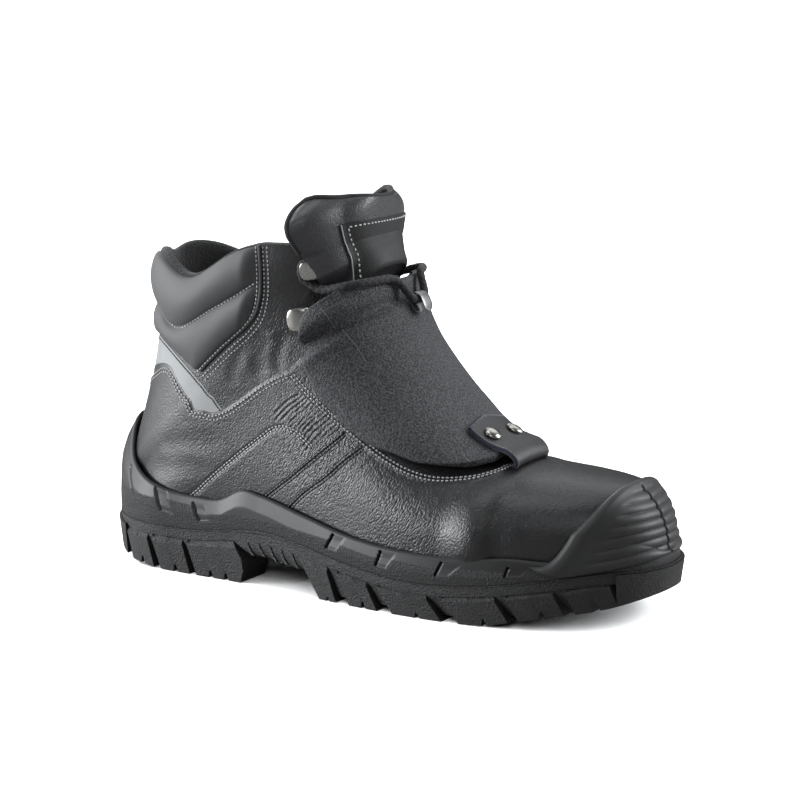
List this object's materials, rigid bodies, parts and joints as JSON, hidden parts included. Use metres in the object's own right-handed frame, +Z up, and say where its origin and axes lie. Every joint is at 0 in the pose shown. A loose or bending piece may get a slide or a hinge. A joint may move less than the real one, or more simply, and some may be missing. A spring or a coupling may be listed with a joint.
{
  "type": "safety shoe",
  "caption": "Ankle-high black leather safety shoe for the right foot, with a lugged sole, toe bumper, padded collar, lace hooks and a stiff instep guard held by the lace.",
  "frame": {"origin": "middle of the shoe's length and width, on the floor that the tread stands on", "axes": "+X from heel to toe, +Y to the inner side of the right foot, +Z up"},
  "size_m": [0.302, 0.1086, 0.19],
  "materials": {
    "sole": "satin moulded black",
    "bumper": "satin moulded black",
    "upper_leather": "black full grain, slightly glossy",
    "collar_leather": "smooth soft black leather",
    "tongue_leather": "soft black leather",
    "guard_leather": "grained blue-grey black leather, dull",
    "tab_leather": "black leather with raw edges",
    "lining": "black textile",
    "nickel": "nickel plated",
    "lace_cord": "black braid",
    "reflective_tape": "light grey reflective cloth",
    "stitching": "grey sewing thread"
  },
  "bodies": {
    "root": {"outsole": "sole", "midsole": "sole", "toe_bumper": "bumper", "upper": "upper_leather", "collar_pad": "collar_leather", "tongue": "tongue_leather", "insole": "lining", "instep_guard": "guard_leather", "guard_tab": "tab_leather", "tab_rivet_1": "nickel", "tab_rivet_2": "nickel", "lace_hook_lateral_1": "nickel", "lace_hook_lateral_2": "nickel", "lace_hook_lateral_3": "nickel", "lace_hook_lateral_4": "nickel", "lace_hook_lateral_5": "nickel", "lace_hook_medial_1": "nickel", "lace_hook_medial_2": "nickel", "lace_hook_medial_3": "nickel", "lace_hook_medial_4": "nickel", "lace_hook_medial_5": "nickel", "guard_hook": "nickel", "lace": "lace_cord", "lace_loop": "lace_cord"}
  },
  "joints": []
}
